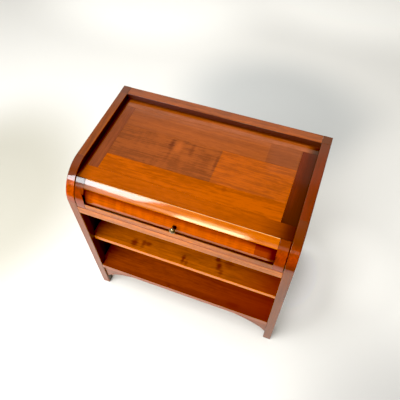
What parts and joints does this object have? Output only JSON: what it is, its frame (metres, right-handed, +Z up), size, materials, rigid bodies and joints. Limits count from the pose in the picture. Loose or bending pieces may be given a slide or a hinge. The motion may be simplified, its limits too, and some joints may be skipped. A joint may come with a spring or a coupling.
{
  "type": "roll top desk",
  "caption": "Compact wooden desk with a rounded front, a recessed framed top, a curved fall flap over a shallow compartment, and open shelves below.",
  "frame": {"origin": "on the floor, under the middle of the whole box, knob included", "axes": "+X to the right seen from the front, +Y to the back, +Z up; the flap and the open shelves face -Y"},
  "size_m": [0.75, 0.4702, 0.72],
  "materials": {
    "frame_cherry": "glossy stained cherry, framing",
    "top_cherry": "glossy stained cherry, glued boards",
    "panel_cherry": "glossy stained cherry, panels",
    "shelf_cherry": "satin stained cherry, shelves",
    "back_ply": "stained plywood",
    "aged_brass": "darkened brass",
    "steel": "plain zinc-plated steel",
    "black_nylon": "moulded nylon"
  },
  "bodies": {
    "carcass": {"back_foot_rail": "frame_cherry", "back_panel": "back_ply", "back_top_rail": "frame_cherry", "bottom_shelf": "shelf_cherry", "compartment_floor": "shelf_cherry", "left_bracket": "frame_cherry", "left_corner": "frame_cherry", "left_floor_bearer": "shelf_cherry", "left_foot_rail": "frame_cherry", "left_front_glide": "black_nylon", "left_front_post": "frame_cherry", "left_panel": "panel_cherry", "left_pivot_bush": "aged_brass", "left_rear_glide": "black_nylon", "left_rear_post": "frame_cherry", "left_shelf_bearer": "shelf_cherry", "left_top_bearer": "shelf_cherry", "left_top_rail": "frame_cherry", "middle_shelf": "shelf_cherry", "right_bracket": "frame_cherry", "right_corner": "frame_cherry", "right_floor_bearer": "shelf_cherry", "right_foot_rail": "frame_cherry", "right_front_glide": "black_nylon", "right_front_post": "frame_cherry", "right_panel": "panel_cherry", "right_pivot_bush": "aged_brass", "right_rear_glide": "black_nylon", "right_rear_post": "frame_cherry", "right_shelf_bearer": "shelf_cherry", "right_top_bearer": "shelf_cherry", "right_top_rail": "frame_cherry", "sill_rail": "frame_cherry", "top_back_board": "top_cherry", "top_back_rail": "top_cherry", "top_front_board": "top_cherry", "top_front_rail": "top_cherry", "top_left_end": "top_cherry", "top_middle_board": "top_cherry", "top_right_end": "top_cherry"},
    "flap": {"flap_bottom_rail": "frame_cherry", "flap_left_pin": "aged_brass", "flap_left_stile": "frame_cherry", "flap_panel": "panel_cherry", "flap_right_pin": "aged_brass", "flap_right_stile": "frame_cherry", "flap_top_rail": "frame_cherry", "knob": "aged_brass", "knob_screw": "steel"}
  },
  "joints": [
    {"name": "flap_hinge", "type": "hinge", "parent": "carcass", "child": "flap", "pos_m": [0, -0.21395, 0.5957], "axis": [1, 0, 0], "range_deg": [0, 90]}
  ]
}
